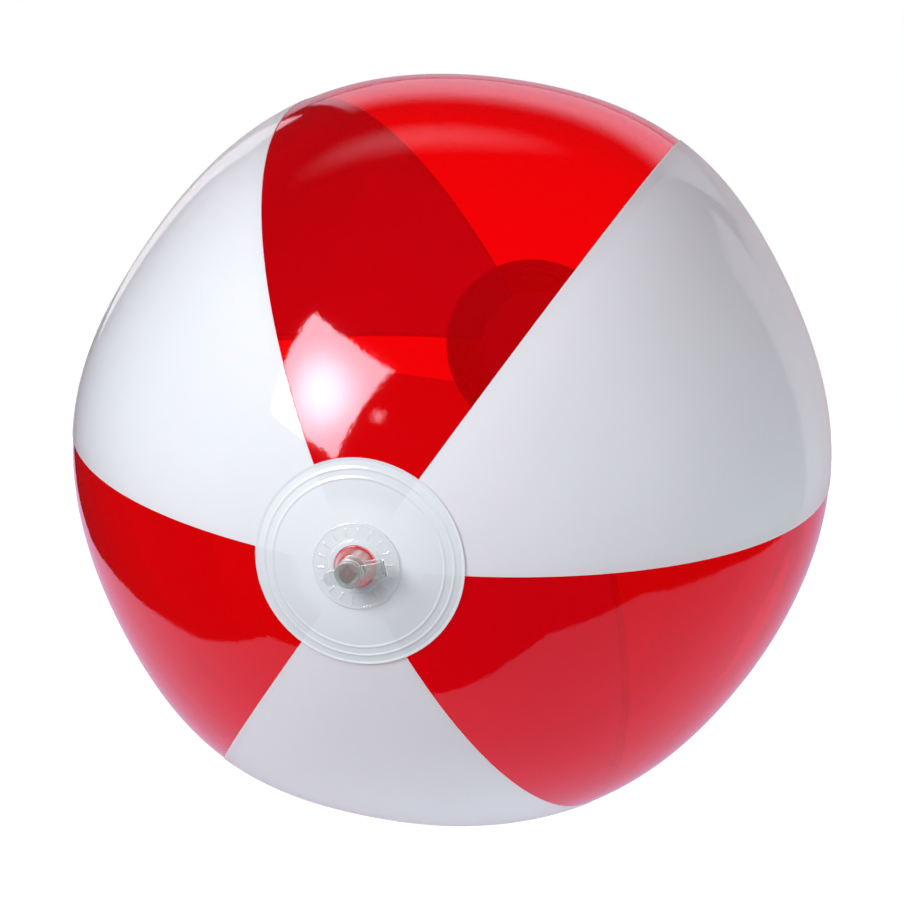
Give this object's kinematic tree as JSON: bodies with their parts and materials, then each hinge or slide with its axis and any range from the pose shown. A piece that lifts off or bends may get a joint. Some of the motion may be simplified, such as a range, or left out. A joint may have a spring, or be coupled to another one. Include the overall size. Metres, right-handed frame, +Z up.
{
  "type": "inflatable beach ball",
  "caption": "Inflated vinyl beach ball with alternating red and white panels, white end discs and a push-in valve closed by a strapped stopper.",
  "frame": {"origin": "centre of the ball, halfway between its two ends", "axes": "-Y along the valve axis, out through the valve; +Z up through the middle of a red panel; +X to the right of someone who looks at the valve"},
  "size_m": [0.28, 0.3081, 0.2797],
  "materials": {
    "red_film": "gloss, see-through vinyl film",
    "white_film": "gloss, opaque vinyl film",
    "disc_film": "gloss, milky vinyl film",
    "clear_vinyl": "clear soft vinyl"
  },
  "bodies": {
    "ball": {"red_panel_1": "red_film", "red_panel_2": "red_film", "red_panel_3": "red_film", "white_panel_1": "white_film", "white_panel_2": "white_film", "white_panel_3": "white_film", "valve_end_disc": "disc_film", "blank_end_disc": "disc_film", "valve_flange": "clear_vinyl", "valve_neck": "clear_vinyl"},
    "stem": {"valve_stem": "clear_vinyl", "stopper_strap": "clear_vinyl"},
    "stopper": {"stopper": "clear_vinyl"},
    "flap": {"check_flap": "clear_vinyl"}
  },
  "joints": [
    {"name": "stem_push", "type": "slide", "parent": "ball", "child": "stem", "axis": [0, 1, 0], "range_m": [0, 0.008], "deforming": ["valve_neck"]},
    {"name": "stopper_hinge", "type": "hinge", "parent": "stem", "child": "stopper", "pos_m": [0.00956, -0.15664, 0.00292], "axis": [-0.2924, 0, 0.9563], "range_deg": [0, 120], "deforming": ["stopper_strap"]},
    {"name": "flap_hinge", "type": "hinge", "parent": "stem", "child": "flap", "pos_m": [-0.00258, -0.14469, -0.00079], "axis": [-0.2924, 0, 0.9563], "range_deg": [0, 70], "stiffness_Nm_per_rad": 0.00001}
  ]
}
